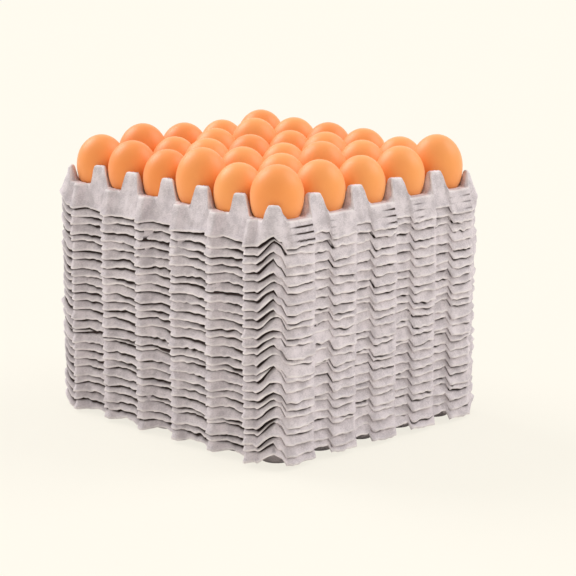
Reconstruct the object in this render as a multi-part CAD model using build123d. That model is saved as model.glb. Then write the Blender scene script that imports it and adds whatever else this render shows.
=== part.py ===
from build123d import *
import os
from math import cos, radians, sin, sqrt, tan

# A stack of nested moulded pulp egg trays. The top tray is full of eggs.
# Millimetres, +Z up. The origin is on the floor, under the middle of the stack.
# X runs along the side with six cells, Y along the side with five.

# Tray grid
cells_x = 6
cells_y = 5
pitch_x = 46.5
pitch_y = 50.5

# Tray wall
wall = 1.75
wall_angle = 76.5  # degrees from the floor, of cups and outer wall

# Tray heights above its own feet
web_height = 27.0  # the level web between the cups
post_height = 45.0
corner_post_height = 40.0

# Cups, round and tapered, each ending in a flat foot
cup_mouth_radius = 20.0  # at the top of the web
foot_chamfer = 2.0

# Posts, hollow cones between the cups
post_base_radius = 12.0  # at the top of the web
post_top_radius = 6.5
post_chamfer = 1.2
corner_post_base_radius = 9.6
corner_post_top_radius = 6.0
post_inset = 3.0  # of the outer rows of posts, from the grid's edge

# Outer wall: it stands back at each post and bulges at each cup
rim_offset = 4.8  # from the outer posts' centres to the wall, at the web
bulge = 3.0
long_recess = 16.0  # half the width of a recess, along the six cells
long_flank = 4.0  # run of the slope between a recess and a bulge
short_recess = 6.0  # half the width of a recess, along the five cells
short_flank = 5.0
corner_chamfer = 6.0

# Hem, the outer wall's lower edge, measured down from the web
long_skirt = 22.0  # along the six cells
long_hem_arch = 3.0  # how far the long hem rises in each recess
tab_skirt = 24.7  # along the five cells, where each bulge ends in a tab
notch_skirt = 16.9  # between the tabs
corner_skirt = 12.0
corner_rise_length = 13.0  # run of the long hem's rise towards a corner

# Stack
tray_count = 25
nest_gap = 0.08  # between the walls of nested trays, square to the wall

# Eggs, blunt end up: radius, height above and depth below the widest place
egg_sizes = {
    "medium": (22.0, 26.0, 30.5),
    "large": (22.6, 26.5, 31.0),
    "extra_large": (23.1, 27.0, 31.5),
    "jumbo": (23.4, 28.0, 34.0),
}
egg_order = ("large", "large", "medium", "jumbo", "medium", "extra_large", "large")
egg_order_shift = 3  # places in that order from one row to the next
egg_seat_gap = 0.3
quarter_ellipse = 0.5523  # share of a half axis that bends a curve to an ellipse

# Worked out from the sizes above
wall_run = 1 / tan(radians(wall_angle))  # outward run for each mm of drop
wall_across = wall / sin(radians(wall_angle))  # wall measured level
nest_pitch = (wall + nest_gap) / cos(radians(wall_angle))
last_post_x = cells_x * pitch_x / 2 - post_inset
last_post_y = cells_y * pitch_y / 2 - post_inset
cups_x = [(i - (cells_x - 1) / 2) * pitch_x for i in range(cells_x)]
cups_y = [(j - (cells_y - 1) / 2) * pitch_y for j in range(cells_y)]
posts_x = [(i - cells_x / 2) * pitch_x for i in range(cells_x + 1)]
posts_y = [(j - cells_y / 2) * pitch_y for j in range(cells_y + 1)]
posts_x[0], posts_x[-1] = -last_post_x, last_post_x
posts_y[0], posts_y[-1] = -last_post_y, last_post_y


def side_points(posts, reach, corner, recess, flank):
    """Corners of one side of the outline, along u, at distance v from the middle."""
    out = reach + bulge
    points = [(-corner, reach)]
    for left, right in zip(posts[:-1], posts[1:]):
        start = left + recess
        end = right - recess
        points += [(start, reach), (start + flank, out), (end - flank, out), (end, reach)]
    return points + [(corner, reach)]


def outline(z, skin):
    """The outer wall's outline at height z, on the face that lies skin inside."""
    across = skin / sin(radians(wall_angle))
    grow = (web_height - z) * wall_run + rim_offset - across
    reach_x = last_post_x + grow
    reach_y = last_post_y + grow
    front_end, side_end = reach_x - corner_chamfer, reach_y - corner_chamfer
    front = side_points(posts_x, reach_y, front_end, long_recess, long_flank)
    side = side_points(posts_y, reach_x, side_end, short_recess, short_flank)
    points = [(u, -v) for u, v in front]
    points += [(v, u) for u, v in side]
    points += [(-u, v) for u, v in front]
    points += [(-v, -u) for u, v in side]
    return points


def tapered_block(low, high, z_low, z_high):
    """A closed solid between two outlines whose sides are parallel."""
    below = [Vector(x, y, z_low) for x, y in low]
    above = [Vector(x, y, z_high) for x, y in high]
    count = len(below)
    faces = [Face(Wire.make_polygon(below[::-1])), Face(Wire.make_polygon(above))]
    for n in range(count):
        m = (n + 1) % count
        faces.append(Face(Wire.make_polygon([below[n], below[m], above[m], above[n]])))
    return Solid(Shell(faces))


def turned(profile):
    """A solid turned from a profile of (radius, height) points."""
    face = Plane.XZ * make_face(Polyline(*profile, close=True))
    return revolve(face, Axis.Z)


def cup(skin):
    """The room inside a cup, on the face that lies skin below its inside."""
    across = skin / sin(radians(wall_angle))
    floor = wall - skin
    top = post_height + 1

    def radius(z):
        return cup_mouth_radius - (web_height - z) * wall_run + across

    profile = [(0, floor)]
    if skin:
        profile.append((radius(floor) - foot_chamfer, floor))
        profile.append((radius(floor + foot_chamfer), floor + foot_chamfer))
    else:
        profile.append((radius(floor), floor))
    profile += [(radius(top), top), (0, top)]
    return turned(profile)


def post(skin, base_radius, top_radius, height):
    """A post as a cone, on the face that lies skin inside it."""
    run = (base_radius - top_radius) / (height - web_height)
    across = skin * sqrt(1 + run**2)
    top = height - skin
    root = web_height - 2 * wall

    def radius(z):
        return base_radius - (z - web_height) * run - across

    profile = [(0, root), (radius(root), root)]
    if skin:
        profile.append((radius(top), top))
    else:
        profile.append((radius(top - post_chamfer), top - post_chamfer))
        profile.append((radius(top) - post_chamfer, top))
    profile.append((0, top))
    return turned(profile)


def posts(skin):
    """All posts of a tray. Those at the corners are slimmer and lower."""
    plain = post(skin, post_base_radius, post_top_radius, post_height)
    corner = post(
        skin, corner_post_base_radius, corner_post_top_radius, corner_post_height
    )
    placed = []
    for x in posts_x:
        for y in posts_y:
            at_corner = abs(x) == last_post_x and abs(y) == last_post_y
            placed.append(Pos(x, y, 0) * (corner if at_corner else plain))
    return placed


def egg_crate(skin):
    """Everything under the face that lies skin below the tray's top face."""
    below = -skin
    envelope = tapered_block(
        outline(below, skin), outline(post_height + 1, skin), below, post_height + 1
    )
    reach_x, reach_y = 2 * last_post_x, 2 * last_post_y
    up_to_web = Pos(0, 0, below) * Box(
        2 * reach_x,
        2 * reach_y,
        web_height - skin - below,
        align=(Align.CENTER, Align.CENTER, Align.MIN),
    )
    body = (up_to_web + posts(skin)) & envelope
    return body - [Pos(x, y, 0) * cup(skin) for x in cups_x for y in cups_y]


def joined(points):
    """Straight edges from each point to the next."""
    return [Line(*pair) for pair in zip(points[:-1], points[1:])]


def long_hem(reach):
    """The long hem's edges from corner to corner. It arches in each recess."""
    hem = web_height - long_skirt
    corner = web_height - corner_skirt
    rise_start = last_post_x - corner_rise_length
    edges = joined([(-reach, corner), (-last_post_x, corner), (-rise_start, hem)])
    at = (-rise_start, hem)
    for x in posts_x[1:-1]:
        foot, end = (x - long_recess, hem), (x + long_recess, hem)
        edges.append(Line(at, foot))
        edges.append(ThreePointArc(foot, (x, hem + long_hem_arch), end))
        at = end
    rise = [at, (rise_start, hem), (last_post_x, corner), (reach, corner)]
    return edges + joined(rise)


def short_hem(reach):
    """The short hem's edges from corner to corner: a notch at each post between the
    corners, and a tab at each cup."""
    corner = web_height - corner_skirt
    tab = web_height - tab_skirt
    levels = [corner] + [web_height - notch_skirt] * (cells_y - 1) + [corner]
    points = [(-reach, corner)]
    for n in range(cells_y):
        start, end = posts_y[n] + short_recess, posts_y[n + 1] - short_recess
        points += [(start, levels[n]), (start + short_flank, tab)]
        points += [(end - short_flank, tab), (end, levels[n + 1])]
    return joined(points + [(reach, corner)])


def hem_cutter(hem, start, reach):
    """What the outer wall loses below its hem, along one side. It is drawn in X and Z
    and thickened along Y, from start outwards."""
    corner = web_height - corner_skirt
    floor = -1.0
    below = joined([(reach, corner), (reach, floor), (-reach, floor), (-reach, corner)])
    return Pos(0, -start, 0) * extrude(Plane.XZ * make_face(hem + below), amount=reach)


def make_tray():
    """One moulded tray, its feet on the floor."""
    shell = egg_crate(0) - egg_crate(wall)
    inside = rim_offset - wall_across  # from the outer posts to the wall's inner face
    reach_x, reach_y = 2 * last_post_x, 2 * last_post_y
    front = hem_cutter(long_hem(reach_x), last_post_y + inside, reach_x)
    side = Rot(0, 0, 90) * hem_cutter(short_hem(reach_y), last_post_x + inside, reach_y)
    back = Rot(0, 0, 180)
    return shell - [front, back * front, side, back * side]


def quarter(radius, height):
    """A quarter ellipse from the widest place to the end of the axis."""
    side = (radius, quarter_ellipse * height)
    end = (quarter_ellipse * radius, height)
    return Bezier((radius, 0), side, end, (0, height))


def make_egg(radius, above, below):
    """An egg turned from two quarter ellipses that meet at its widest place."""
    axis = Line((0, above), (0, -below))
    profile = make_face([quarter(radius, above), axis, quarter(radius, -below)])
    return revolve(Plane.XZ * profile, Axis.Z)


def egg_height(radius, below):
    """Height of an egg's widest place above its tray's feet, where it rests on the
    edge of the cup."""
    sunk = below * sqrt(1 - (cup_mouth_radius / radius) ** 2)
    return web_height + sunk + egg_seat_gap


os.makedirs("parts", exist_ok=True)

tray = make_tray()
for n in range(tray_count):
    path = f"parts/tray_{n + 1:02d}.step"
    export_step(Pos(0, 0, n * nest_pitch) * tray, path, write_pcurves=False)

top_tray = (tray_count - 1) * nest_pitch
eggs = {name: make_egg(*sizes) for name, sizes in egg_sizes.items()}
for row, y in enumerate(cups_y):
    for column, x in enumerate(cups_x):
        name = egg_order[(egg_order_shift * row + column) % len(egg_order)]
        radius, above, below = egg_sizes[name]
        place = Pos(x, y, top_tray + egg_height(radius, below))
        export_step(place * eggs[name], f"parts/egg_{'abcdefgh'[row]}{column + 1}.step")
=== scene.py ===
"""The looks of a stack of nested moulded pulp egg trays, the top tray full of eggs.

Lengths inside the form classes are millimetres, measured as the solids are: +Z up,
the origin on the floor under the middle of the stack. Meshes are written in metres.
"""

import logging
import math
from dataclasses import dataclass, field
from enum import Enum
from typing import Any, Sequence

import bpy
import numpy as np
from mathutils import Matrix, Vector


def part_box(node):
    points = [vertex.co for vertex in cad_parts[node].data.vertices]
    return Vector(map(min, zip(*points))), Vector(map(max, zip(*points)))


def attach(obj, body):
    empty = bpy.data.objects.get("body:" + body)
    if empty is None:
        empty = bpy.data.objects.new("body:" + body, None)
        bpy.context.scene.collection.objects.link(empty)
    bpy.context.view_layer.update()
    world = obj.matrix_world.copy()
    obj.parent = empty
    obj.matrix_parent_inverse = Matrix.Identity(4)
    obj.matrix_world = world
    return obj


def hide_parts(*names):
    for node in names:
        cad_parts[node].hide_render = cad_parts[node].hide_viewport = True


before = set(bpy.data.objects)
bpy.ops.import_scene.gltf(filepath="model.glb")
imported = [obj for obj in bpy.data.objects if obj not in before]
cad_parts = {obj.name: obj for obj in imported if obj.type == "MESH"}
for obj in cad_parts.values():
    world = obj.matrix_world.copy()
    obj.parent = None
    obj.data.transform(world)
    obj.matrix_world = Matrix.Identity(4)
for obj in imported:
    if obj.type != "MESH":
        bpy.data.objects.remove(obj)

log = logging.getLogger("egg_trays")
Array = np.ndarray
Colour = tuple[float, float, float, float]
MM = 0.001
BODY = "root"
HALVINGS = 24  # of the range of heights that is searched for the rim
NEVER_COVERED = 1e3  # a height above every wall
ELSEWHERE = 500.0  # moves a place to where the same ripples run differently


# Small helpers for shapes


def smooth_min(one: Array, other: Array | float, blend: float) -> Array:
    """The smaller of two heights, rounded where they cross.

    Args:
        one: The first heights.
        other: The second heights, or one height for all.
        blend: How wide the rounding is, in millimetres of height.

    Returns:
        The rounded smaller height at each place.
    """
    share = np.clip(0.5 + 0.5 * (other - one) / blend, 0.0, 1.0)
    return other * (1 - share) + one * share - blend * share * (1 - share)


def smooth_max(one: Array, other: Array | float, blend: float) -> Array:
    """The larger of two heights, rounded where they cross."""
    return -smooth_min(-one, -other, blend)


def smooth_step(value: Array, low: float, high: float) -> Array:
    """A soft step from 0 at low to 1 at high."""
    share = np.clip((value - low) / (high - low), 0.0, 1.0)
    return share * share * (3 - 2 * share)


def bell(value: Array, middle: float, width: float) -> Array:
    """1 where the value is at the middle, and less on both sides of it."""
    return np.exp(-(((value - middle) / width) ** 2))


def varied(waves: Array, mean: float, spread: float, least: float, most: float) -> Array:
    """Values that vary with waves about 0, kept between the least and the most."""
    return np.clip(mean + spread * waves, least, most)


class Ripples:
    """A sum of sine waves in random directions: even, unhurried unevenness."""

    def __init__(
        self, rng: np.random.Generator, shortest: float, longest: float, count: int
    ) -> None:
        """Draw the waves.

        Args:
            rng: The source of random numbers.
            shortest: The shortest wavelength in millimetres.
            longest: The longest wavelength in millimetres.
            count: How many waves there are.
        """
        lengths = np.exp(rng.uniform(np.log(shortest), np.log(longest), count))
        heading = rng.normal(size=(count, 3))
        heading /= np.linalg.norm(heading, axis=1, keepdims=True)
        self.waves = (2 * math.pi * heading / lengths[:, None]).T
        self.phases = rng.uniform(0, 2 * math.pi, count)
        weights = np.sqrt(lengths / longest)
        self.weights = weights / np.sqrt((weights**2).sum() / 2)

    def at(self, places: Array) -> Array:
        """Heights about 0, with a spread of about 1, at an array of places."""
        return np.sin(places @ self.waves + self.phases) @ self.weights


# Shader maths


class Value:
    """A node's output socket, for use in Python expressions."""

    def __init__(self, shader: "Shader", socket: bpy.types.NodeSocket) -> None:
        """Wrap a socket of a shader's node tree."""
        self.shader = shader
        self.socket = socket

    def maths(self, operation: str, *others: "Value | float") -> "Value":
        """Add one Math node that works on this value and the others."""
        return self.shader.maths(operation, self, *others)

    def __add__(self, other: "Value | float") -> "Value":
        """This value plus the other."""
        return self.maths("ADD", other)

    def __radd__(self, other: float) -> "Value":
        """A number plus this value."""
        return self.maths("ADD", other)

    def __mul__(self, other: "Value | float") -> "Value":
        """This value times the other."""
        return self.maths("MULTIPLY", other)

    def clamped(self) -> "Value":
        """This value, kept between 0 and 1."""
        return self.maths("MAXIMUM", 0.0).maths("MINIMUM", 1.0)

    def span(self, low: float, high: float) -> "Value":
        """Turn a range of this value into 0 to 1, with soft ends.

        Args:
            low: The value that gives 0.
            high: The value that gives 1.

        Returns:
            The new value.
        """
        settings = {"interpolation_type": "SMOOTHSTEP"}
        inputs = {"Value": self, "From Min": low, "From Max": high}
        return self.shader.node("ShaderNodeMapRange", settings, inputs)["Result"]


class Shader:
    """The node tree of a material or of a world."""

    def __init__(self, name: str, world: bpy.types.World | None = None) -> None:
        """Start with an empty node tree.

        Args:
            name: The material's name.
            world: A world to use in the place of a new material.
        """
        self.material = world or bpy.data.materials.new(name)
        self.material.use_nodes = True
        self.tree = self.material.node_tree
        self.tree.nodes.clear()

    def node(
        self,
        kind: str,
        settings: dict[str, Any] | None = None,
        inputs: dict[str | int, Any] | None = None,
    ) -> dict[str, Value]:
        """Add a node.

        Args:
            kind: The node's type.
            settings: Its own properties, set before its sockets.
            inputs: Values or links of its sockets, by name or number.

        Returns:
            Its output sockets, by name.
        """
        made = self.tree.nodes.new(kind)
        for key, value in (settings or {}).items():
            setattr(made, key, value)
        for key, value in (inputs or {}).items():
            socket = made.inputs[key]
            if isinstance(value, Value):
                self.tree.links.new(value.socket, socket)
            else:
                socket.default_value = value
        return {out.name: Value(self, out) for out in made.outputs if out.enabled}

    def maths(self, operation: str, *values: Value | float) -> Value:
        """Add a Math node on one, two or three values."""
        inputs = dict(enumerate(values))
        return self.node("ShaderNodeMath", {"operation": operation}, inputs)["Value"]

    def mix(self, share: Value | float, one: Any, other: Any) -> Value:
        """A colour between two others: the first at share 0, the second at 1."""
        inputs = {0: share, 6: one, 7: other}
        return self.node("ShaderNodeMix", {"data_type": "RGBA"}, inputs)["Result"]

    def places(self, stretch: Sequence[float] = (1.0, 1.0, 1.0)) -> Value:
        """The place on the object in metres.

        Args:
            stretch: What each axis is scaled by.

        Returns:
            The scaled place.
        """
        place = self.node("ShaderNodeTexCoord")["Object"]
        settings = {"operation": "MULTIPLY"}
        inputs = {0: place, 1: tuple(stretch)}
        return self.node("ShaderNodeVectorMath", settings, inputs)["Vector"]

    def noise(self, places: Value, scale: float, detail: float) -> Value:
        """Cloudy noise from 0 to 1 with about scale clouds in a metre."""
        inputs = {"Vector": places, "Scale": scale, "Detail": detail}
        return self.node("ShaderNodeTexNoise", None, inputs)["Fac"]

    def painted(self, attribute: str) -> Value:
        """A number that was painted on the mesh's points."""
        settings = {"attribute_name": attribute}
        return self.node("ShaderNodeAttribute", settings)["Fac"]

    def bump(self, height: Value, depth: float, strength: float) -> Value:
        """A normal from a height map whose full range is depth metres deep."""
        inputs = {"Height": height, "Distance": depth, "Strength": strength}
        return self.node("ShaderNodeBump", None, inputs)["Normal"]

    def seen(self) -> Value:
        """1 for rays that show a surface to the camera, directly or mirrored."""
        rays = self.node("ShaderNodeLightPath")
        mirrored = rays["Is Glossy Ray"].maths("MAXIMUM", rays["Is Transmission Ray"])
        return rays["Is Camera Ray"].maths("MAXIMUM", mirrored)

    def finish(self, **sockets: Any) -> bpy.types.Material:
        """Add the Principled shader and the output.

        Args:
            sockets: Values or links by socket name, with underscores for spaces.

        Returns:
            The finished material.
        """
        inputs = {name.replace("_", " "): value for name, value in sockets.items()}
        shader = self.node("ShaderNodeBsdfPrincipled", None, inputs)["BSDF"]
        self.node("ShaderNodeOutputMaterial", None, {"Surface": shader})
        return self.material


# Finishes


@dataclass(frozen=True)
class PulpFinish:
    """Grey moulded paper pulp: matte, fibrous and mottled, with painted shade in its creases,
    gaps and recesses, and a painted highlight along its edges that partly stands for lighter worn
    pulp.
    """

    light: Colour = (0.79, 0.715, 0.745, 1.0)
    dark: Colour = (0.56, 0.505, 0.53, 1.0)
    # painted highlight along rims and hems, which partly stands for lighter worn pulp
    wear_and_highlight: Colour = (0.98, 0.92, 0.91, 1.0)
    # painted shade: the near-black put in creases, under hems and in the long side's recesses
    crease: Colour = (0.045, 0.03, 0.028, 1.0)
    roughness: float = 0.93
    specular: float = 0.18
    mottle_scale: float = 95.0  # clouds in a metre, as for the next two
    fibre_scale: float = 620.0
    speck_scale: float = 1500.0
    fibre_stretch: tuple[float, float, float] = (1.0, 1.0, 2.6)  # they lie level
    patch_weights: tuple[float, float] = (0.55, 0.45)  # of mottle and fibres
    patch_range: tuple[float, float] = (0.36, 0.62)  # from dark to light
    wear_and_highlight_weights: tuple[float, float] = (0.2, 0.8)  # even, and with the mottle
    crease_weights: tuple[float, float] = (0.65, 0.7)
    crease_range: tuple[float, float] = (0.12, 0.8)  # of painted shade, from none to full
    relief_weights: tuple[float, float, float] = (0.6, 0.25, 0.5)  # specks in between
    relief_depth: float = 0.0011
    relief_strength: float = 0.8

    def material(self) -> bpy.types.Material:
        """Make the pulp's material.

        Returns:
            A material that reads two paints: edge, a painted highlight that partly stands for
                lighter worn pulp, and the painted shade of creases, gaps and recesses.
        """
        shader = Shader("pulp")
        places = shader.places()
        lying = shader.places(self.fibre_stretch)
        mottle = shader.noise(places, self.mottle_scale, 4.0)
        fibres = shader.noise(lying, self.fibre_scale, 4.0)
        specks = shader.noise(places, self.speck_scale, 2.0)
        patches = mottle * self.patch_weights[0] + fibres * self.patch_weights[1]
        body = shader.mix(patches.span(*self.patch_range), self.dark, self.light)
        # painted highlight along edges, mottled, which partly stands for lighter worn pulp
        even, mottled = self.wear_and_highlight_weights
        edge = shader.painted("edge") * (even + mottle * mottled)
        edged = shader.mix(edge.clamped(), body, self.wear_and_highlight)
        # painted shade, mottled, in creases, gaps and recesses
        even, mottled = self.crease_weights
        crease = shader.painted("crease") * (even + mottle * mottled)
        colour = shader.mix(crease.span(*self.crease_range), edged, self.crease)
        fibrous, specked, mottled = self.relief_weights
        height = fibres * fibrous + specks * specked + mottle * mottled
        normal = shader.bump(height, self.relief_depth, self.relief_strength)
        return shader.finish(
            Base_Color=colour,
            Roughness=self.roughness,
            Normal=normal,
            Specular_IOR_Level=self.specular,
        )


@dataclass(frozen=True)
class EggshellFinish:
    """Brown eggshell: even, faintly speckled and pored, with a soft sheen."""

    light: Colour = (1.0, 0.38, 0.105, 1.0)
    deep: Colour = (0.95, 0.28, 0.06, 1.0)
    sheen: Colour = (1.0, 0.78, 0.55, 1.0)
    roughness: float = 0.42
    specular: float = 0.35
    sheen_weight: float = 0.35
    cloud_scale: float = 38.0  # clouds in a metre
    cloud_weight: float = 0.5
    tone_range: tuple[float, float] = (0.1, 1.1)  # from light to deep
    pore_scale: float = 1400.0
    pore_depth: float = 0.00012
    pore_strength: float = 0.5

    def material(self) -> bpy.types.Material:
        """Make the eggshell's material.

        Returns:
            A material that reads the paint named tone.
        """
        shader = Shader("eggshell")
        places = shader.places()
        clouds = shader.noise(places, self.cloud_scale, 3.0)
        pores = shader.noise(places, self.pore_scale, 2.0)
        tone = shader.painted("tone") + clouds * self.cloud_weight
        colour = shader.mix(tone.span(*self.tone_range), self.light, self.deep)
        normal = shader.bump(pores, self.pore_depth, self.pore_strength)
        return shader.finish(
            Base_Color=colour,
            Roughness=self.roughness,
            Normal=normal,
            Specular_IOR_Level=self.specular,
            Sheen_Weight=self.sheen_weight,
            Sheen_Tint=self.sheen,
        )


# Trays


class Detail(Enum):
    """How finely a tray is meshed, by how much of it can be seen."""

    TOP = "seen from above and from the side"
    MIDDLE = "only the lower strip of its outer wall is seen"
    BOTTOM = "seen from the side and from below"


STRIP = (0.0, 0.05, 0.12, 0.22, 0.36, 0.52, 0.68, 0.83, 0.93, 1.0)


@dataclass(frozen=True)
class Fineness:
    """The counts that set how fine a tray's mesh is."""

    around: int  # points round a cup, a multiple of 4
    web_rings: tuple[float, ...]  # from a cup's mouth (0) to its cell's edge (1)
    cup_rings: tuple[float, ...]  # depths below the web, as shares of a cup's depth
    columns: int  # columns of the outer wall for each step of the cells' edge
    rows_above: int  # rows of the outer wall from the strip up to the rim
    under_step: int  # the underside has every so many of the top face's rings
    strip_rows: tuple[float, ...] = STRIP  # from the hem (0) to the next tray's hem (1)


FINENESS = {
    Detail.TOP: Fineness(
        around=48,
        web_rings=(0.06, 0.13, 0.2, 0.27, 0.35, 0.47, 0.62, 0.8, 1.0),
        cup_rings=(0.04, 0.1, 0.22, 0.45, 0.7, 0.93),
        columns=3,
        rows_above=16,
        under_step=3,
    ),
    Detail.MIDDLE: Fineness(
        around=16,
        web_rings=(0.3, 0.6, 1.0),
        cup_rings=(0.3, 0.93),
        columns=5,
        rows_above=2,
        under_step=4,
    ),
    Detail.BOTTOM: Fineness(
        around=32,
        web_rings=(0.15, 0.3, 0.6, 1.0),
        cup_rings=(0.1, 0.5, 0.93),
        columns=3,
        rows_above=3,
        under_step=1,
    ),
}


@dataclass(frozen=True)
class TraySizes:
    """Sizes of a moulded tray in millimetres, heights measured from its feet."""

    cells: tuple[int, int]
    pitch: tuple[float, float]
    wall: float = 1.75
    wall_run: float = 0.2401  # outward run of a wall for each millimetre of drop
    web_height: float = 27.0
    post_height: float = 45.0
    corner_post_height: float = 40.0
    cup_mouth_radius: float = 20.0
    foot_radius: float = 12.6
    post_base_radius: float = 12.2
    post_top_radius: float = 7.2
    corner_post_base_radius: float = 10.0
    corner_post_top_radius: float = 6.4
    post_inset: float = 3.0
    web_rounding: float = 3.0  # height over which posts, web and cups blend
    post_rounding: float = 3.5
    foot_rounding: float = 2.5
    rim_offset: float = 4.8
    rim_radius: float = 1.3
    rim_pull: float = 3.0  # how far the grid's edge lies inside the rim, in rim radii
    bulge: float = 3.0
    long_recess: float = 16.0
    long_flank: float = 4.0
    long_hollow: float = 3.7  # how far the long side's recesses are pressed in
    long_uneven: float = 0.5  # share by which every second of them is deeper
    long_start: tuple[float, float] = (10.0, 20.0)  # from the corner, where they begin
    hollow_fade: float = 0.6  # share of their depth that is lost at the posts' tops
    long_ridge: float = 0.8  # how far its bulges stand prouder than the short side's
    short_recess: float = 8.2
    short_flank: float = 1.8
    short_fill: float = 1.2  # how much shallower the short side's recesses are
    short_start: tuple[float, float] = (6.0, 16.0)
    corner_tab_start: float = 4.6  # from the last posts to where the outer tabs start
    hidden_inset: float = 0.9  # how far a wall draws back behind the tray above
    corner_radius: float = 10.2
    corner_reach: float = 12.0
    long_skirt: float = 22.0  # from the web down to the hem, as for the next three
    tab_skirt: float = 22.0
    notch_skirt: float = 14.4
    corner_skirt: float = 12.0
    long_hem_arch: float = 2.6
    tab_sag: float = 0.8  # how far the middle of a tab hangs below its ends
    lowest_hem: float = 1.2  # above the feet
    corner_rise_length: float = 16.0  # run of the long hem's rise towards a corner
    corner_fall: tuple[float, float] = (-5.0, -0.8)  # short of the corner, where the hem falls
    corner_crest: float = 3.4  # how far the hem peaks at the very corner
    corner_crest_length: float = 8.0
    press_lines: tuple[float, ...] = (9.5, 15.5, 21.0)  # on the top tray's short walls
    press_line_depth: float = 0.5
    flute_depth: float = 0.5
    flute_pitch: float = 7.0
    flute_reach: tuple[float, float] = (7.0, 10.0)  # from a post, where they end
    flute_turn: float = 0.1  # radians round the corner by which they have ended

    @property
    def half(self) -> tuple[float, float]:
        """Half the grid of cells, along X and along Y."""
        return self.cells[0] * self.pitch[0] / 2, self.cells[1] * self.pitch[1] / 2

    def posts(self, axis: int) -> Array:
        """Where the rows of posts stand along an axis."""
        rows = (np.arange(self.cells[axis] + 1) - self.cells[axis] / 2) * self.pitch[axis]
        rows[[0, -1]] += self.post_inset, -self.post_inset
        return rows

    def cups(self, axis: int) -> Array:
        """Where the rows of cups lie along an axis."""
        middle = (self.cells[axis] - 1) / 2
        return (np.arange(self.cells[axis]) - middle) * self.pitch[axis]

    def top_face(self, x: Array, y: Array) -> Array:
        """Height of the tray's top face.

        Args:
            x: Places along X.
            y: Places along Y.

        Returns:
            The height at each place, with rounded edges.
        """
        post_x = nearest(x, self.posts(0))
        post_y = nearest(y, self.posts(1))
        at_corner = (abs(post_x) > self.half[0] - self.pitch[0] / 2) & (
            abs(post_y) > self.half[1] - self.pitch[1] / 2
        )
        away = np.hypot(x - post_x, y - post_y)
        base = np.where(at_corner, self.corner_post_base_radius, self.post_base_radius)
        top = np.where(at_corner, self.corner_post_top_radius, self.post_top_radius)
        height = np.where(at_corner, self.corner_post_height, self.post_height)
        slope = (height - self.web_height) / (base - top)
        post = smooth_min(height - (away - top) * slope, height, self.post_rounding)
        ground = smooth_max(post, self.web_height, self.web_rounding)
        cup_x = nearest(x, self.cups(0))
        cup_y = nearest(y, self.cups(1))
        radius = np.hypot(x - cup_x, y - cup_y)
        cup = self.web_height + (radius - self.cup_mouth_radius) / self.wall_run
        above_feet = smooth_min(ground, cup, self.web_rounding)
        return smooth_max(above_feet, self.wall, self.foot_rounding)


@dataclass(frozen=True)
class TrayWear:
    """How the trays differ from one another, in millimetres unless said.

    Ripples are given by their shortest and longest waves and by how many there are.
    """

    dents: tuple[float, float, int] = (14.0, 70.0, 20)
    warp: tuple[float, float, int] = (60.0, 260.0, 10)
    pits: tuple[float, float, int] = (7.0, 16.0, 30)
    hem_waves: tuple[float, float, int] = (24.0, 150.0, 18)
    hem_nibbles: tuple[float, float, int] = (6.0, 18.0, 24)
    lip_waves: tuple[float, float, int] = (9.0, 60.0, 22)
    gap_waves: tuple[float, float, int] = (10.0, 90.0, 22)
    dent_depth: float = 0.22
    pit_depth: float = 0.14
    level_feet: float = 12.0  # height below which the dents grow shallower
    sway: float = 0.25
    wave_height: float = 0.6
    nibble_height: float = 0.4
    shift: float = 0.3  # how far trays stand from the middle
    drop: float = 1.1  # how far hems hang higher or lower
    most_drop: float = 1.8
    tilt: float = 0.7  # how far the ends of hems are off level
    most_tilt: float = 1.2
    notch_rise: tuple[float, float] = (-1.0, 0.8)
    crest_share: tuple[float, float] = (0.3, 1.4)
    arch_share: tuple[float, float] = (0.05, 0.6)
    cracked: float = 0.3  # share of trays whose gaps run on up the sides of the tabs
    open_crack: float = 0.9
    shut_crack: float = 0.15
    wear_and_highlight_top: float = 2.0  # width of the painted highlight round a post's top, which partly stands for lighter wear
    wear_and_highlight_mouth: float = 1.4  # width of the painted highlight round a cup's mouth, which partly stands for lighter wear
    wear_and_highlight_below: float = 4.0  # how far below the corner posts' tops it still shows
    thickness_spread: float = 0.1  # as a share of the wall
    thickness_limits: tuple[float, float] = (1.2, 2.3)
    hem_roundness: float = 0.35  # how far the hem's middle hangs below its edges
    inside_crease: float = 0.1  # painted shade on the underside


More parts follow.
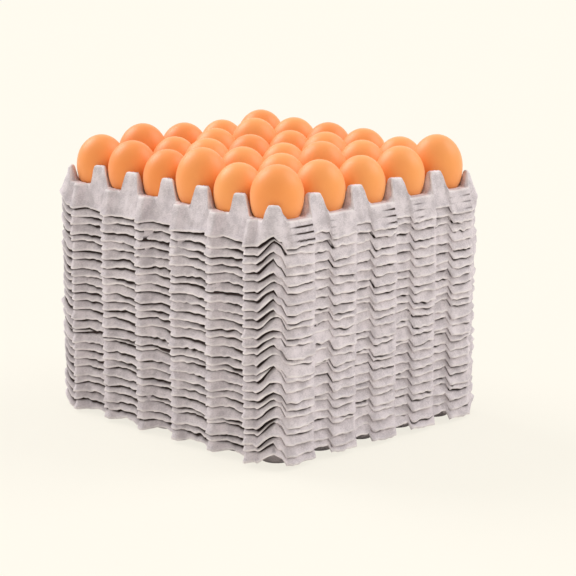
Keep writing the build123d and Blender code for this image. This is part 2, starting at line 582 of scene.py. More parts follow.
@dataclass(frozen=True)
class WallLook:
    """How the strips of outer wall that show look, in millimetres unless said.

    A lip is the flared lower edge of a wall, and a gap the dark line under the hem of
    the tray above, where the wall below tucks in and gets painted shade. Each is given
    by its mean, its spread, its least and its most.
    """

    lip: tuple[float, float, float, float] = (0.75, 0.4, 0.1, 1.6)
    lip_height: float = 1.6
    lip_width: float = 1.7
    turn_in: float = 0.9  # how far the very edge turns back
    turn_in_height: float = 0.45
    gap: tuple[float, float, float, float] = (0.72, 0.55, 0.08, 1.4)
    recess_gap: float = 0.3  # how much larger it is in the long side's recesses
    gap_limits: tuple[float, float] = (0.2, 1.5)
    tuck_reach: float = 2.2  # how far below a gap the wall draws in
    crease_reach: float = 1.4  # how far below a gap the painted shade reaches
    crease_over: float = 1.5  # how far above a gap the painted shade reaches
    # painted shade in the long side's recesses
    shade: float = 0.85
    shade_reach: float = 4.0
    shade_even: float = 0.6
    shade_sided: float = 0.4  # how much darker the painted shade is towards the flank away from the light
    step: float = 3.5  # the difference in height over two columns that makes a cut
    cut_share: float = 0.15  # of the lip and the painted highlight that is left at a cut
    # painted highlight along the hem's lip, which partly stands for lighter worn pulp
    edge_height: float = 1.0
    edge_width: float = 1.0
    press_width: float = 0.9
    press_shade: float = 0.7
    press_start: float = 6.0  # from the corner
    press_fade: float = 0.8  # share of a line that is lost in a recess
    draw_back: tuple[float, float] = (0.2, 1.0)  # above a gap, where the wall does so
    top_strip: float = 8.0  # most height of the strip where no tray covers the wall
    top_strip_share: float = 0.9
    strip_over: float = 0.6  # how far a strip goes on behind the tray above
    least_strip: float = 2.0
    least_above: float = 1.0


# How far in and how far down each ring of the rim lies, in rim radii, and its painted highlight,
# which partly stands for lighter wear
RIM_RINGS = ((1.6, 0.0, 0.3), (0.75, 0.12, 1.0), (0.2, 0.5, 1.0), (0.0, 1.15, 0.4))


def nearest(values: Array, choices: Array) -> Array:
    """The choice that lies nearest to each value."""
    return choices[np.abs(values[:, None] - choices[None, :]).argmin(axis=1)]


class Skin:
    """The top and outer face of a tray, gathered ring by ring.

    Seen from above, all rings run anticlockwise.
    """

    def __init__(self) -> None:
        """Start with no points."""
        self.points: list[Array] = []
        self.faces: list[tuple[int, ...]] = []
        self.under: list[tuple[int, ...]] = []
        # painted shade in creases, gaps and recesses, and a painted highlight along edges that
        # partly stands for wear
        self.paint: dict[str, list[Array]] = {"crease": [], "edge": []}
        self.count = 0

    def add(self, points: Array, **paint: Array) -> Array:
        """Add points.

        Args:
            points: The new points.
            paint: What is painted on them, by name.

        Returns:
            Their numbers.
        """
        self.points.append(points)
        for name, values in self.paint.items():
            values.append(paint.get(name, np.zeros(len(points))))
        self.count += len(points)
        return np.arange(self.count - len(points), self.count)

    def band(self, outer: Array, inner: Array, into: list[tuple[int, ...]]) -> None:
        """Join two closed rings of as many points by four-sided faces.

        Args:
            outer: The numbers of the outer ring's points.
            inner: The numbers of the inner ring's points.
            into: The list that the faces are added to.
        """
        outer_next, inner_next = np.roll(outer, -1), np.roll(inner, -1)
        faces = np.stack([outer, outer_next, inner_next, inner], axis=1)
        into += [tuple(face) for face in faces.tolist()]

    def bands(self, rings: list[Array], under_step: int) -> None:
        """Join rings on the top face and below it.

        Args:
            rings: The numbers of each ring's points, from the outermost inwards.
            under_step: The underside has every so many of the rings.
        """
        for outer, inner in zip(rings[:-1], rings[1:]):
            self.band(outer, inner, self.faces)
        kept = rings[:-1:under_step] + rings[-1:]
        for outer, inner in zip(kept[:-1], kept[1:]):
            self.band(outer, inner, self.under)

    def fan_band(self, coarse: Array, fine: Array, step: int) -> None:
        """Join a coarse inner ring to a finer outer ring.

        Args:
            coarse: The numbers of the inner ring's points.
            fine: The numbers of the outer ring's points.
            step: How many times as many points the outer ring has.
        """
        for n, start in enumerate(coarse):
            run = [int(fine[(n * step + k) % len(fine)]) for k in range(step + 1)]
            face = (*run, int(coarse[(n + 1) % len(coarse)]), int(start))
            self.faces.append(face)
            self.under.append(face)

    def cap(self, ring: Array) -> None:
        """Fill a ring.

        Args:
            ring: The numbers of its points.
        """
        face = tuple(ring.tolist())
        self.faces.append(face)
        self.under.append(face)


@dataclass
class Tray:
    """One moulded tray: its form, its own unevenness and its mesh."""

    node: str
    feet: float
    detail: Detail
    sizes: TraySizes
    seed: int
    above: "Tray | None" = None
    wear: TrayWear = TrayWear()
    skin: Skin = field(default_factory=Skin)

    def __post_init__(self) -> None:
        """Draw this tray's own unevenness."""
        rng = np.random.default_rng(self.seed)
        wear = self.wear
        self.fine = FINENESS[self.detail]
        self.dents = Ripples(rng, *wear.dents)
        self.warp = Ripples(rng, *wear.warp)
        self.pits = Ripples(rng, *wear.pits)
        self.hem_waves = Ripples(rng, *wear.hem_waves)
        self.hem_nibbles = Ripples(rng, *wear.hem_nibbles)
        self.lip_waves = Ripples(rng, *wear.lip_waves)
        self.gap_waves = Ripples(rng, *wear.gap_waves)
        self.shift = rng.normal(0.0, wear.shift, 2)
        self.drop = np.clip(rng.normal(0.0, wear.drop, 2), -wear.most_drop, wear.most_drop)
        self.tilt = np.clip(rng.normal(0.0, wear.tilt, 2), -wear.most_tilt, wear.most_tilt)
        self.notch_rise = rng.uniform(*wear.notch_rise)
        self.crest_share = rng.uniform(*wear.crest_share)
        self.crack = wear.open_crack if rng.random() < wear.cracked else wear.shut_crack
        at_bottom = self.detail is Detail.BOTTOM
        self.arch_share = 1.0 if at_bottom else rng.uniform(*wear.arch_share)
        self.edge_points: dict[tuple[float, float], int] = {}
        self.pulled: dict[tuple[float, float], Array] = {}

    def ring_places(self) -> tuple[Array, Array]:
        """Find where rings round a cup have their points.

        Returns:
            Directions round the cup, and the cell's edge in those directions.
        """
        side = self.fine.around // 4
        angles = np.arange(self.fine.around) * (2 * math.pi / self.fine.around)
        angles = angles - math.pi * 3 / 4
        turn = np.stack([np.cos(angles), np.sin(angles)], axis=1)
        square = turn / np.abs(turn).max(axis=1, keepdims=True)
        square[::side] = np.sign(square[::side])
        return turn, square * np.array(self.sizes.pitch) / 2

    def cell(self, x: float, y: float) -> None:
        """Mesh one cell: its cup, and the web and post quarters round it.

        Args:
            x: The cup's centre along X.
            y: The cup's centre along Y.
        """
        sizes, fine = self.sizes, self.fine
        turn, edge = self.ring_places()
        places = edge + (x, y)
        keys = [key_of(place) for place in places]
        edge = np.array([self.pulled.get(key, place) for key, place in zip(keys, places)])
        mouth = turn * sizes.cup_mouth_radius + (x, y)
        rings = [mouth + (edge - mouth) * share for share in fine.web_rings[::-1]]
        rings.append(mouth)
        depth = sizes.web_height - sizes.wall
        for share in fine.cup_rings:
            rings.append(mouth - turn * (depth * share * sizes.wall_run))
        rings.append(turn * sizes.foot_radius + (x, y))
        rings.append(turn * sizes.foot_radius / 2 + (x, y))
        numbered = [self.shared(self.surface(rings[0]), keys)]
        for ring in rings[1:]:
            points = self.surface(ring)
            # painted highlight round post tops and cup mouths, which partly stands for lighter
            # wear
            numbered.append(self.skin.add(points, edge=self.wear_and_highlight(points)))
        self.skin.bands(numbered, fine.under_step)
        self.skin.cap(numbered[-1])

    def surface(self, places: Array) -> Array:
        """Points of the top face at places given by X and Y."""
        height = self.sizes.top_face(places[:, 0], places[:, 1])
        return np.column_stack([places, height])

    def wear_and_highlight(self, points: Array) -> Array:
        """Find where the top face gets a painted highlight: round the post tops and cup mouths,
        partly standing for lighter worn pulp.

        Args:
            points: Points of the top face.

        Returns:
            How much each point lies on such an edge, from 0 to 1.
        """
        sizes, wear = self.sizes, self.wear
        post_x = nearest(points[:, 0], sizes.posts(0))
        post_y = nearest(points[:, 1], sizes.posts(1))
        away = np.hypot(points[:, 0] - post_x, points[:, 1] - post_y)
        cup_x = nearest(points[:, 0], sizes.cups(0))
        cup_y = nearest(points[:, 1], sizes.cups(1))
        out = np.hypot(points[:, 0] - cup_x, points[:, 1] - cup_y)
        top = bell(away, sizes.post_top_radius, wear.wear_and_highlight_top)
        top *= points[:, 2] > sizes.corner_post_height - wear.wear_and_highlight_below
        return np.maximum(top, bell(out, sizes.cup_mouth_radius, wear.wear_and_highlight_mouth))

    def shared(self, points: Array, keys: list[tuple[float, float]]) -> Array:
        """Add points on a cell's edge, each once for all the cells that share it.

        Args:
            points: The points.
            keys: Each point's place on the edge.

        Returns:
            Their numbers.
        """
        for key, point in zip(keys, points):
            if key not in self.edge_points:
                self.edge_points[key] = int(self.skin.add(point[None, :])[0])
        return np.array([self.edge_points[key] for key in keys])

    def grid_edge(self) -> Array:
        """Find the places round the grid's outer edge, as the cells have them.

        Returns:
            The places, anticlockwise.
        """
        half_x, half_y = self.sizes.half
        side = self.fine.around // 4
        shares = np.tan((np.arange(side) / side - 0.5) * math.pi / 2)
        along_x = (self.sizes.cups(0)[:, None] + shares * self.sizes.pitch[0] / 2).ravel()
        along_y = (self.sizes.cups(1)[:, None] + shares * self.sizes.pitch[1] / 2).ravel()
        front = np.column_stack([along_x, np.full(along_x.shape, -half_y)])
        right = np.column_stack([np.full(along_y.shape, half_x), along_y])
        return np.concatenate([front, right, -front, -right])

    def pull_edge_in(self, places: Array) -> None:
        """Move the grid's edge inside the rim, which runs inside it at the posts.

        Args:
            places: Places round the grid's outer edge.
        """
        sizes = self.sizes
        wall = OuterWall(sizes, places, self)
        inside = wall.at(wall.top_edge(), -sizes.rim_pull * sizes.rim_radius)[:, :2]
        self.pulled = {key_of(place): inner for place, inner in zip(places, inside)}

    def outer_wall(self, places: Array) -> None:
        """Mesh the band from the cells' outer edge over the rim and down to the hem.

        Args:
            places: Places round the grid's outer edge.
        """
        coarse = np.array([self.edge_points[key_of(place)] for place in places])
        step = self.fine.columns
        ahead = np.roll(places, -1, axis=0)
        shares = np.arange(step)[None, :, None] / step
        split = places[:, None, :] * (1 - shares) + ahead[:, None, :] * shares
        wall = OuterWall(self.sizes, split.reshape(-1, 2), self)
        rings = [
            self.skin.add(points, crease=crease, edge=edge)
            for points, crease, edge in wall.rings(self.fine)
        ]
        self.skin.fan_band(coarse, rings[0], step)
        self.skin.bands(rings[::-1], self.fine.under_step)
        self.hem = rings[-1]

    def uneven(self, points: Array) -> Array:
        """Bend the skin by this tray's warp and dents.

        Args:
            points: The points of an even tray.

        Returns:
            The moved points.
        """
        wear = self.wear
        place = points + (0.0, 0.0, self.feet)
        moved = points.copy()
        strength = smooth_step(points[:, 2], 0.0, wear.level_feet)
        moved[:, 2] += wear.dent_depth * self.dents.at(place) * strength
        sway = self.warp.at(place)
        moved[:, 0] += self.shift[0] + wear.sway * sway
        moved[:, 1] += self.shift[1] - wear.sway * sway
        return moved

    def build(self) -> bpy.types.Object:
        """Build the tray.

        Returns:
            Its object, in its place in the stack.
        """
        places = self.grid_edge()
        self.pull_edge_in(places)
        for x in self.sizes.cups(0):
            for y in self.sizes.cups(1):
                self.cell(float(x), float(y))
        self.outer_wall(places)
        points = self.uneven(np.concatenate(self.skin.points))
        paint = {name: np.concatenate(values) for name, values in self.skin.paint.items()}
        points, faces, paint = self.thicken(points, paint)
        points[:, 2] += self.feet
        return mesh_object(f"{self.node}_pulp", points * MM, faces, paint)

    def thicken(
        self, points: Array, paint: dict[str, Array]
    ) -> tuple[Array, list[tuple[int, ...]], dict[str, Array]]:
        """Give the skin its thickness, and close it round the hem.

        Args:
            points: The top and outer face's points.
            paint: What is painted on them, by name.

        Returns:
            All points, all faces and what is painted on all points.
        """
        wear = self.wear
        normals = point_normals(points, self.skin.faces)
        spread = 1 + wear.thickness_spread * self.dents.at(points + ELSEWHERE)
        thickness = np.clip(self.sizes.wall * spread, *wear.thickness_limits)
        inside = points - normals * thickness[:, None]
        inside[:, 2] = np.maximum(inside[:, 2], 0.0)
        kept = np.unique(np.concatenate([np.array(face) for face in self.skin.under]))
        numbers = np.full(len(points), -1)
        numbers[kept] = np.arange(len(kept)) + len(points)
        under = [tuple(numbers[list(reversed(face))].tolist()) for face in self.skin.under]
        edge = (points[self.hem] + inside[self.hem]) / 2
        edge[:, 2] = np.maximum(edge[:, 2] - wear.hem_roundness, 0.0)
        edge_numbers = np.arange(len(self.hem)) + len(points) + len(kept)
        closing: list[tuple[int, ...]] = []
        self.skin.band(edge_numbers, self.hem, closing)
        self.skin.band(numbers[self.hem], edge_numbers, closing)
        everything = np.concatenate([points, inside[kept], edge])
        # painted shade on the underside, and a painted highlight on the hem's rounded middle
        # edge, which partly stands for lighter wear
        creased = np.full(len(kept) + len(edge), wear.inside_crease)
        paint = {
            "crease": np.concatenate([paint["crease"], creased]),
            "edge": np.concatenate([paint["edge"], np.zeros(len(kept)), np.ones(len(edge))]),
        }
        return everything, self.skin.faces + under + closing, paint


def key_of(place: Array) -> tuple[float, float]:
    """A place on a cell's edge, rounded so that neighbouring cells agree on it."""
    return round(float(place[0]), 2) + 0.0, round(float(place[1]), 2) + 0.0


WallRing = tuple[Array, Array, Array]  # points, and their painted shade and their painted highlight, which partly stands for wear


@dataclass
class OuterWall:
    """A tray's outer wall, column by column round the tray."""

    sizes: TraySizes
    places: Array  # of the columns, on the edge of the grid of cells
    tray: Tray
    look: WallLook = WallLook()

    def __post_init__(self) -> None:
        """Work out each column's side, place along it and outward heading."""
        sizes = self.sizes
        half = np.array(sizes.half)
        share = self.places / half
        self.on_long = np.abs(share[:, 1]) > np.abs(share[:, 0]) - 1e-9
        axis = np.where(self.on_long, 0, 1)
        rows = np.arange(len(self.places))
        along = self.places[rows, axis]
        self.facing = np.sign(self.places[rows, 1 - axis])
        half_along = half[axis]
        # Near a corner the columns run on along the side, and then round the corner
        extra = np.abs(along) - (half_along - sizes.corner_reach)
        straight = sizes.rim_offset - sizes.post_inset + sizes.corner_reach
        straight -= sizes.corner_radius
        length = straight + math.pi / 4 * sizes.corner_radius
        run = np.clip(extra, 0.0, None) * length / sizes.corner_reach
        self.turn = np.clip(run - straight, 0.0, None) / sizes.corner_radius
        flat = np.minimum(np.abs(along), half_along - sizes.corner_reach)
        flat = flat + np.minimum(run, straight)
        self.level = np.sign(along) * (flat + sizes.corner_radius * np.sin(self.turn))
        self.slide = np.sign(along) * self.turn / (math.pi / 4)
        # Recesses and hems are drawn by the way from the nearest post or corner
        posts_x, posts_y = sizes.posts(0), sizes.posts(1)
        post = np.where(self.on_long, nearest(self.level, posts_x), nearest(self.level, posts_y))
        self.post = post
        self.from_post = self.level - post
        last_post = half_along - sizes.post_inset
        self.at_last_post = np.abs(post) > last_post - 1.0
        self.from_corner = half_along - np.abs(self.level)
        self.past_last_post = np.abs(self.level) > last_post
        self.spread_cuts()
        self.recess = self.recess_share()
        fall = sizes.corner_radius * (1 - np.cos(self.turn))
        reach = half[1 - axis] - sizes.post_inset + sizes.rim_offset
        self.reach = reach - fall + self.proud()

    def spread_cuts(self) -> None:
        """Move the short sides' columns so that two lie close by each notch's edge."""
        cut = self.sizes.short_recess + self.sizes.short_flank / 2
        reach, nearest_way = 3.0, 0.25
        past = np.abs(self.from_post) - cut
        share = np.clip(np.abs(past) / reach, 0.0, 1.0)
        away = nearest_way + (reach - nearest_way) * share**2
        spread = np.where(past < 0, -1.0, 1.0) * away
        moves = ~self.on_long & ~self.at_last_post & (share < 1.0)
        shifted = np.sign(self.from_post) * (cut + spread)
        self.from_post = np.where(moves, shifted, self.from_post)
        self.level = self.post + self.from_post

    def recess_share(self) -> Array:
        """Find which columns lie in a recess.

        Returns:
            1 in the recess at a post, 0 on a bulge, by column.
        """
        sizes = self.sizes
        edge = np.where(self.on_long, sizes.long_recess, sizes.short_recess)
        flank = np.where(self.on_long, sizes.long_flank, sizes.short_flank)
        share = 1 - smooth_step((np.abs(self.from_post) - edge) / flank, 0.0, 1.0)
        return np.where(self.past_last_post, 1.0, share)

    def proud(self) -> Array:
        """Find how far the wall stands out, and how much of that fades with height.

        Returns:
            How far it stands out from where an even recess would be, by column.
        """
        sizes = self.sizes
        flutes = 1 - np.cos(2 * math.pi * self.from_post / sizes.flute_pitch)
        near_post = 1 - smooth_step(np.abs(self.from_post), *sizes.flute_reach)
        straight = 1 - smooth_step(self.turn, 0.0, sizes.flute_turn)
        groove = sizes.flute_depth / 2 * flutes * near_post * straight
        apart = self.on_long * smooth_step(self.from_corner, *sizes.long_start)
        bulge = sizes.bulge + sizes.long_ridge * apart
        uneven = 1 + sizes.long_uneven * np.cos(math.pi * self.post / sizes.pitch[0])
        short_apart = ~self.on_long * smooth_step(self.from_corner, *sizes.short_start)
        hollow = sizes.long_hollow * uneven * apart
        self.fading = sizes.hollow_fade * hollow * self.recess
        floor = sizes.short_fill * short_apart - hollow
        return bulge * (1 - self.recess) + floor * self.recess - groove

    def at(self, height: Array, outward: Array | float = 0.0) -> Array:
        """Points of the wall at a height for each column.

        Args:
            height: Each column's height above the feet.
            outward: How far the point stands out from the wall.

        Returns:
            The points, three coordinates each.
        """
        grow = (self.sizes.web_height - height) * self.sizes.wall_run + outward
        risen = smooth_step(height, self.sizes.web_height, self.sizes.post_height)
        across = self.reach + grow + self.fading * risen
        along = self.level + self.slide * grow
        x = np.where(self.on_long, along, self.facing * across)
        y = np.where(self.on_long, self.facing * across, along)
        return np.column_stack([x, y, np.broadcast_to(height, x.shape)])

    def top_edge(self) -> Array:
        """Find where the wall meets the top face.

        Returns:
            The height of the rim, by column.
        """
        sizes = self.sizes
        low = np.full(len(self.places), sizes.web_height - 1.0)
        high = np.full(len(self.places), sizes.post_height + 1.0)
        for _ in range(HALVINGS):
            middle = (low + high) / 2
            points = self.at(middle)
            above = sizes.top_face(points[:, 0], points[:, 1]) > middle
            low = np.where(above, middle, low)
            high = np.where(above, high, middle)
        return (low + high) / 2

    def smooth_hem(self) -> Array:
        """Find the lower edge of the wall of a tray without wear.

        Returns:
            Its height, by column.
        """
        sizes = self.sizes
        low = sizes.web_height - sizes.long_skirt
        corner = sizes.web_height - sizes.corner_skirt
        rise = smooth_step(-self.from_corner, -sizes.corner_rise_length, 0.0)
        arch = np.clip(1 - (self.from_post / sizes.long_recess) ** 2, 0.0, 1.0)
        arch = np.where(self.at_last_post, 0.0, arch) * self.tray.arch_share
        on_long = low + (corner - low) * rise + sizes.long_hem_arch * arch
        tab = sizes.web_height - sizes.tab_skirt
        half_cell = sizes.pitch[1] / 2
        sag = np.clip((half_cell - np.abs(self.from_post)) / half_cell, 0.0, 1.0) ** 2
        notch = sizes.web_height - sizes.notch_skirt + self.tray.notch_rise
        fall = smooth_step(-self.from_corner, *sizes.corner_fall)
        between = np.where(self.at_last_post, notch + (corner - notch) * fall, notch)
        notch_edge = sizes.short_recess + sizes.short_flank / 2
        edge = np.where(self.at_last_post, sizes.corner_tab_start, notch_edge)
        cut = (np.abs(self.from_post) < edge) | self.past_last_post
        on_short = np.where(cut, between, tab + sizes.tab_sag * sag)
        crest = np.clip(1 - np.abs(self.from_corner) / sizes.corner_crest_length, 0.0, 1.0)
        crest = crest * self.tray.crest_share
        return np.where(self.on_long, on_long, on_short) + sizes.corner_crest * crest

    def hem_height(self) -> Array:
        """Find this tray's own lower edge.

        Returns:
            Its height, by column.
        """
        tray, wear = self.tray, self.tray.wear
        places = self.columns_at_feet()
        half = np.where(self.on_long, self.sizes.half[0], self.sizes.half[1])
        tilt = np.where(self.on_long, tray.tilt[0], tray.tilt[1]) * self.level / half
        drop = np.where(self.on_long, tray.drop[0], tray.drop[1]) + tilt
        wave = wear.wave_height * tray.hem_waves.at(places)
        wave = wave + wear.nibble_height * tray.hem_nibbles.at(places)
        return np.maximum(self.smooth_hem() + drop + wave, self.sizes.lowest_hem)

    def columns_at_feet(self) -> Array:
        """Each column's place in the stack, at the height of the tray's feet."""
        return np.column_stack([self.places, np.full(len(self.places), self.tray.feet)])

    def depth_below(self, height: Array) -> Array:
        """Find how far points lie below or beside what the next tray covers.

        Args:
            height: The points' heights, one for each column.

        Returns:
            The shortest way to the covered part, over two columns each way.
        """
        places = self.at(np.full(len(self.places), self.sizes.web_height))[:, :2]
        nearest_way = np.full(len(height), np.inf)
        for offset in range(-2, 3):
            beside = places - np.roll(places, offset, axis=0)
            below = np.maximum(np.roll(self.cover, offset) - height, 0.0)
            way = np.sqrt((beside**2).sum(axis=1) + below**2)
            nearest_way = np.minimum(nearest_way, way)
        return nearest_way

    def cover_height(self) -> Array:
        """Find what the next tray covers.

        Returns:
            The height of that tray's hem, by column.
        """
        above = self.tray.above
        if above is None:
            return np.full(len(self.places), NEVER_COVERED)
        neighbour = OuterWall(self.sizes, self.places, above)
        return neighbour.hem_height() + above.feet - self.tray.feet

    def strip_top(self, start: Array) -> Array:
        """Find where the fine rows above the hem end.

        Args:
            start: The height of the rim's lowest ring, by column.

        Returns:
            The height, by column.
        """
        look = self.look
        if self.tray.above is None:
            height = np.minimum(start - self.hem, look.top_strip)
            return self.hem + height * look.top_strip_share
        least, most = self.hem + look.least_strip, start - look.least_above
        return np.clip(self.cover + look.strip_over, least, most)

    def press_lines(self, height: Array) -> Array:
        """Find the lines pressed across the top tray's tabs.

        Args:
            height: The points' heights, one for each column.

        Returns:
            How much each point lies in one of the lines.
        """
        look = self.look
        lines = np.zeros(len(height))
        if self.tray.above is None:
            for line in self.sizes.press_lines:
                lines = np.maximum(lines, bell(height, line, look.press_width))
        inside = ~self.on_long & (self.from_corner > look.press_start)
        return lines * inside * self.gap * (1 - look.press_fade * self.recess)

    def rings(self, fine: Fineness) -> list[WallRing]:
        """Make the rings from inside the rim, over it and down to the hem.

        Args:
            fine: How many rings there are.

        Returns:
            The rings.
        """
        top = self.top_edge()
        self.hem = self.hem_height()
        self.cover = self.cover_height()
        self.wear_columns()
        start = top - RIM_RINGS[-1][1] * self.sizes.rim_radius
        strip_top = self.strip_top(start)
        above = [1 - (row + 1) / (fine.rows_above + 1) for row in range(fine.rows_above)]
        heights = [strip_top + (start - strip_top) * share for share in above]
        heights += [self.hem + (strip_top - self.hem) * share for share in fine.strip_rows[::-1]]
        return self.rim_rings(top) + [self.wall_ring(height) for height in heights]

    def wear_columns(self) -> None:
        """Work out the lip, the gap and the shade of each column."""
        tray, look = self.tray, self.look
        places = self.columns_at_feet()
        self.lip = varied(tray.lip_waves.at(places), *look.lip)
        self.cut = ~self.on_long & (np.abs(change(self.hem)) > look.step)
        self.lip = np.where(self.cut, look.cut_share * self.lip, self.lip)
        in_recess = self.recess * self.on_long
        gap = varied(tray.gap_waves.at(places), *look.gap)
        gap = np.clip(gap + look.recess_gap * in_recess, *look.gap_limits)
        upright = ~self.on_long & (np.abs(change(self.cover)) > look.step)
        self.gap = np.where(upright, tray.crack * gap, gap)
        # painted shade in the long side's recesses, darker towards the flank away from the light
        side = np.clip(-self.facing * self.from_post / self.sizes.long_recess, -1.0, 1.0)
        self.shade = in_recess * (look.shade_even + look.shade_sided * side)

    def rim_rings(self, top: Array) -> list[WallRing]:
        """Make the rings from inside the rim and over it.

        Args:
            top: The height of the rim, by column.

        Returns:
            The rings.
        """
        sizes, count = self.sizes, len(self.places)
        rings = []
        for inward, drop, wear_and_highlight in RIM_RINGS:
            points = self.at(top - drop * sizes.rim_radius, -inward * sizes.rim_radius)
            if drop == 0.0:
                points[:, 2] = sizes.top_face(points[:, 0], points[:, 1])
            # the rim's painted highlight, which partly stands for lighter worn pulp
            rings.append((points, np.zeros(count), np.full(count, wear_and_highlight)))
        return rings

    def wall_ring(self, height: Array) -> WallRing:
        """Make one ring of the wall, with its lip, gap, dents and pressed lines.

        Args:
            height: The points' heights, one for each column.

        Returns:
            The ring.
        """
        sizes, tray, look, wear = self.sizes, self.tray, self.look, self.tray.wear
        up = height - self.hem
        depth = self.depth_below(height)
        pressed = self.press_lines(height)
        place = self.at(height) + (0.0, 0.0, tray.feet)
        dents = wear.dent_depth * tray.dents.at(place) + wear.pit_depth * tray.pits.at(place)
        flare = self.lip * bell(up, look.lip_height, look.lip_width)
        flare = flare - look.turn_in * np.exp(-up / look.turn_in_height)
        tuck = self.gap * np.exp(-depth / look.tuck_reach)
        hidden = smooth_step(height - self.cover, *look.draw_back)
        outward = flare + dents - tuck - sizes.press_line_depth * pressed
        outward = outward - sizes.hidden_inset * hidden
        # painted shade below the gap to the tray above, in the long side's recesses and in the
        # pressed lines
        crease = self.gap * np.exp(-depth / look.crease_reach)
        crease = crease + look.shade * self.shade * np.exp(-depth / look.shade_reach)
        crease = crease * (height < self.cover + look.crease_over)
        crease = np.maximum(crease, look.press_shade * pressed)
        # painted highlight along the hem's lip, which partly stands for lighter worn pulp
        edge = bell(up, look.edge_height, look.edge_width)
        edge = edge * np.where(self.cut, look.cut_share, 1.0)
        return self.at(height, outward), crease, edge


def change(heights: Array) -> Array:
    """How much heights change from the column before each column to the one after."""
    return np.roll(heights, -1) - np.roll(heights, 1)


def point_normals(points: Array, faces: list[tuple[int, ...]]) -> Array:
    """Find the outward normals of a surface's points, weighted by the faces' areas.

    Args:
        points: The surface's points.
        faces: The numbers of each face's points.

    Returns:
        A normal of length 1 for each point.
    """
    normals = np.zeros_like(points)
    by_size: dict[int, list[tuple[int, ...]]] = {}
    for face in faces:
        by_size.setdefault(len(face), []).append(face)
    for size, group in by_size.items():
        corners = np.array(group)
        first = points[corners[:, 0]]
        total = np.zeros((len(group), 3))
        for k in range(1, size - 1):
            total += np.cross(points[corners[:, k]] - first, points[corners[:, k + 1]] - first)
        for k in range(size):
            np.add.at(normals, corners[:, k], total)
    return normals / np.maximum(np.linalg.norm(normals, axis=1, keepdims=True), 1e-12)


def mesh_object(
    name: str,
    points: Array,
    faces: list[tuple[int, ...]],
    paint: dict[str, Array],
) -> bpy.types.Object:
    """Make a smooth-shaded mesh object.

    Args:
        name: The object's name.
        points: Its points in metres.
        faces: The numbers of each face's points.
        paint: Numbers painted on its points, by name.

    Returns:
        The new object, linked to the scene.
    """
    mesh = bpy.data.meshes.new(name)
    mesh.from_pydata(points.tolist(), [], faces)
    mesh.shade_smooth()
    for key, values in paint.items():
        attribute = mesh.attributes.new(key, "FLOAT", "POINT")
        attribute.data.foreach_set("value", np.asarray(values, np.float32))
    mesh.update()
    made = bpy.data.objects.new(name, mesh)
    bpy.context.scene.collection.objects.link(made)
    return made


@dataclass
class TrayStack:
    """All nested trays, from the floor up."""

    nodes: list[str]
    finish: PulpFinish = PulpFinish()
    cells: tuple[int, int] = (6, 5)
    first_seed: int = 100  # of the lowest tray's unevenness

    def sizes(self) -> TraySizes:
        """Find the trays' sizes, with the cells' pitch as the eggs lie.

        Returns:
            The sizes that all trays share.
        """
        first = middle_of("egg_a1")
        along_x, along_y = middle_of("egg_a2"), middle_of("egg_b1")
        pitch = (float(along_x.x - first.x) / MM, float(along_y.y - first.y) / MM)
        return TraySizes(cells=self.cells, pitch=pitch)

    def build(self) -> None:
        """Build and dress every tray, from the top one down."""
        material = self.finish.material()
        sizes = self.sizes()
        above: Tray | None = None
        for number, node in reversed(list(enumerate(self.nodes))):
            detail = Detail.MIDDLE
            if number == 0:
                detail = Detail.BOTTOM
            if above is None:
                detail = Detail.TOP
            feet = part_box(node)[0].z / MM
            tray = Tray(node, feet, detail, sizes, self.first_seed + number, above)
            place_piece(tray.build(), node, material)
            above = tray


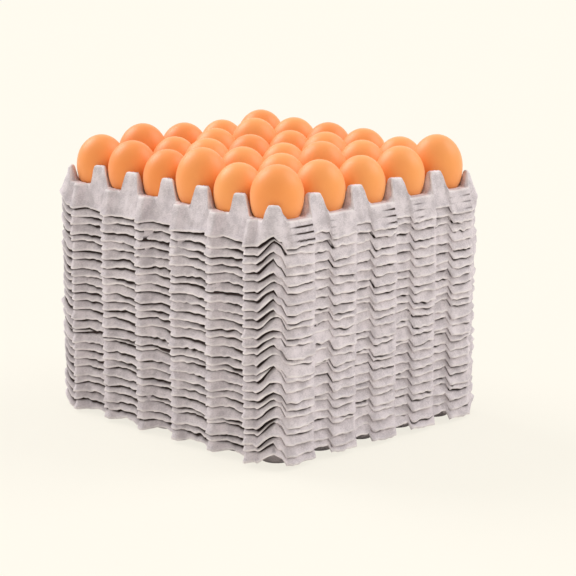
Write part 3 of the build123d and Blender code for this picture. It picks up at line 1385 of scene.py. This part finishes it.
@dataclass
class EggLayer:
    """The eggs in the cups of the top tray."""

    nodes: list[str]
    finish: EggshellFinish = EggshellFinish()
    rings: int = 22
    around: int = 40
    widest_share: float = 0.54  # height of the widest place, as a share of the egg
    lean_degrees: float = 2.5
    lean_share: float = 0.5  # of the lower part, the depth of the point it leans about
    tones: tuple[float, float] = (0.0, 0.6)  # from the palest egg to the deepest
    seed: int = 11

    def turned(self, radius: float, above: float, below: float) -> list[tuple[float, ...]]:
        """Find the points of an egg about its widest place.

        Args:
            radius: Its radius at the widest place.
            above: Its height above the widest place.
            below: Its depth below the widest place.

        Returns:
            The lowest point, the rings from the lowest up, and the highest point.
        """
        angles = np.linspace(-math.pi / 2, math.pi / 2, self.rings + 1)[1:-1]
        round_angles = np.arange(self.around) * 2 * math.pi / self.around
        points: list[tuple[float, ...]] = [(0.0, 0.0, -below)]
        for angle in angles:
            out = radius * math.cos(angle)
            up = (above if angle > 0 else below) * math.sin(angle)
            points += [(out * math.cos(turn), out * math.sin(turn), up) for turn in round_angles]
        return points + [(0.0, 0.0, above)]

    def skin(self, last: int) -> list[tuple[int, ...]]:
        """Join an egg's points.

        Args:
            last: The number of the highest point.

        Returns:
            The numbers of each face's points.
        """
        faces: list[tuple[int, ...]] = []
        top_ring = last - self.around
        for k in range(self.around):
            n = (k + 1) % self.around
            faces.append((0, 1 + n, 1 + k))
            for at in range(1, top_ring, self.around):
                above = at + self.around
                faces.append((at + k, at + n, above + n, above + k))
            faces.append((top_ring + k, top_ring + n, last))
        return faces

    def egg(self, node: str, rng: np.random.Generator) -> bpy.types.Object:
        """Build one egg, blunt end up, in its solid's place.

        Args:
            node: Its solid's name.
            rng: The source of random numbers.

        Returns:
            Its object.
        """
        low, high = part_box(node)
        centre = (low + high) / 2
        waist = low.z + (high.z - low.z) * self.widest_share
        points = self.turned((high.x - low.x) / 2, high.z - waist, waist - low.z)
        sideways = rng.normal(0, math.radians(self.lean_degrees), 2)
        lean = Vector((0, 0, 1)).rotation_difference(Vector((*sideways, 1.0)))
        seat = Vector((0, 0, (low.z - waist) * self.lean_share))
        moved = [lean @ (Vector(p) - seat) + seat for p in points]
        world = np.array([(p.x + centre.x, p.y + centre.y, p.z + waist) for p in moved])
        tone = np.full(len(points), rng.uniform(*self.tones))
        return mesh_object(f"{node}_shell", world, self.skin(len(points) - 1), {"tone": tone})

    def build(self) -> None:
        """Build and dress every egg."""
        material = self.finish.material()
        rng = np.random.default_rng(self.seed)
        for node in self.nodes:
            place_piece(self.egg(node, rng), node, material)


def middle_of(node: str) -> Vector:
    """The middle of a solid's box, in metres."""
    low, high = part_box(node)
    return (low + high) / 2


def place_piece(
    piece: bpy.types.Object, node: str, material: bpy.types.Material
) -> None:
    """Give a piece its material and its body, and hide the solid it stands for.

    Args:
        piece: The piece's object.
        node: The solid that it stands for.
        material: Its material.
    """
    piece.data.materials.append(material)
    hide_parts(node)
    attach(piece, BODY)
    log.info("%s: %d faces", piece.name, len(piece.data.polygons))


@dataclass(frozen=True)
class Lamp:
    """A soft, distant lamp."""

    name: str
    strength: float
    degrees: float  # how wide it looks from the stack
    towards: tuple[float, float, float]

    def hang(self) -> None:
        """Add the lamp to the scene."""
        data = bpy.data.lights.new(self.name, "SUN")
        data.energy = self.strength
        data.angle = math.radians(self.degrees)
        add_aimed(self.name, data, Vector(self.towards))


def add_aimed(name: str, data: bpy.types.ID, heading: Vector) -> bpy.types.Object:
    """Add a lamp or a camera to the scene.

    Args:
        name: The object's name.
        data: The lamp or the camera.
        heading: The direction that it points in.

    Returns:
        The new object.
    """
    made = bpy.data.objects.new(name, data)
    made.rotation_mode = "QUATERNION"
    made.rotation_quaternion = heading.to_track_quat("-Z", "Y")
    bpy.context.scene.collection.objects.link(made)
    return made


@dataclass(frozen=True)
class Studio:
    """A plain pale floor, soft light and the camera."""

    cream: Colour = (0.975, 0.935, 0.838, 1.0)
    backdrop: Colour = (1.0, 0.973, 0.863, 1.0)
    room: Colour = (1.0, 0.99, 0.97, 1.0)
    room_strength: float = 0.64
    glow_share: float = 0.84  # of the floor's look that no shadow dims
    floor_half: float = 14.0
    eye: tuple[float, float, float] = (1.4176, -1.3520, 0.5765)
    target: tuple[float, float, float] = (0.0, 0.0, 0.1117)
    lens: float = 136.3
    sensor_width: float = 36.0
    shift: tuple[float, float] = (0.0350, 0.0071)
    lamps: tuple[Lamp, ...] = (
        Lamp("left_lamp", 1.75, 35.0, (0.9, 0.15, -0.75)),
        Lamp("right_lamp", 1.15, 40.0, (-0.45, -0.75, -0.75)),
    )

    def floor(self) -> None:
        """Lay the floor, whose own colour is the background."""
        size = self.floor_half
        corners = [(-size, -size, 0.0), (size, -size, 0.0), (size, size, 0.0), (-size, size, 0.0)]
        plane = mesh_object("floor", np.array(corners), [(0, 1, 2, 3)], {})
        shader = Shader("floor")
        matte = {"Color": self.cream, "Roughness": 0.0}
        lit = shader.node("ShaderNodeBsdfDiffuse", None, matte)["BSDF"]
        glow = shader.node("ShaderNodeEmission", None, {"Color": self.cream})["Emission"]
        share = shader.seen() * self.glow_share
        mixed = shader.node("ShaderNodeMixShader", None, {0: share, 1: lit, 2: glow})
        shader.node("ShaderNodeOutputMaterial", None, {"Surface": mixed["Shader"]})
        plane.data.materials.append(shader.material)

    def room_light(self) -> None:
        """Light the stack from all round, and show the pale backdrop to the camera."""
        world = bpy.data.worlds.new("studio")
        shader = Shader("studio", world)
        dim = {"Color": self.room, "Strength": self.room_strength}
        lit = shader.node("ShaderNodeBackground", None, dim)["Background"]
        pale = {"Color": self.backdrop, "Strength": 1.0}
        shown = shader.node("ShaderNodeBackground", None, pale)["Background"]
        inputs = {0: shader.seen(), 1: lit, 2: shown}
        mixed = shader.node("ShaderNodeMixShader", None, inputs)
        shader.node("ShaderNodeOutputWorld", None, {"Surface": mixed["Shader"]})
        bpy.context.scene.world = world

    def camera(self) -> None:
        """Set the camera where the photograph was taken from."""
        data = bpy.data.cameras.new("camera")
        data.lens = self.lens
        data.sensor_width = self.sensor_width
        data.shift_x, data.shift_y = self.shift
        made = add_aimed("camera", data, Vector(self.target) - Vector(self.eye))
        made.location = self.eye
        bpy.context.scene.camera = made

    def build(self) -> None:
        """Set up the floor, the lamps, the room's light and the camera."""
        self.floor()
        for lamp in self.lamps:
            lamp.hang()
        self.room_light()
        self.camera()
        bpy.context.scene.view_settings.view_transform = "Standard"


def main() -> None:
    """Build the stack, the eggs and the studio in order."""
    logging.basicConfig(level=logging.INFO, format="%(name)s %(message)s")
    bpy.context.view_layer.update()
    nodes = sorted(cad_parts)
    TrayStack([name for name in nodes if name.startswith("tray")]).build()
    EggLayer([name for name in nodes if name.startswith("egg")]).build()
    Studio().build()


if __name__ == "__main__":
    main()
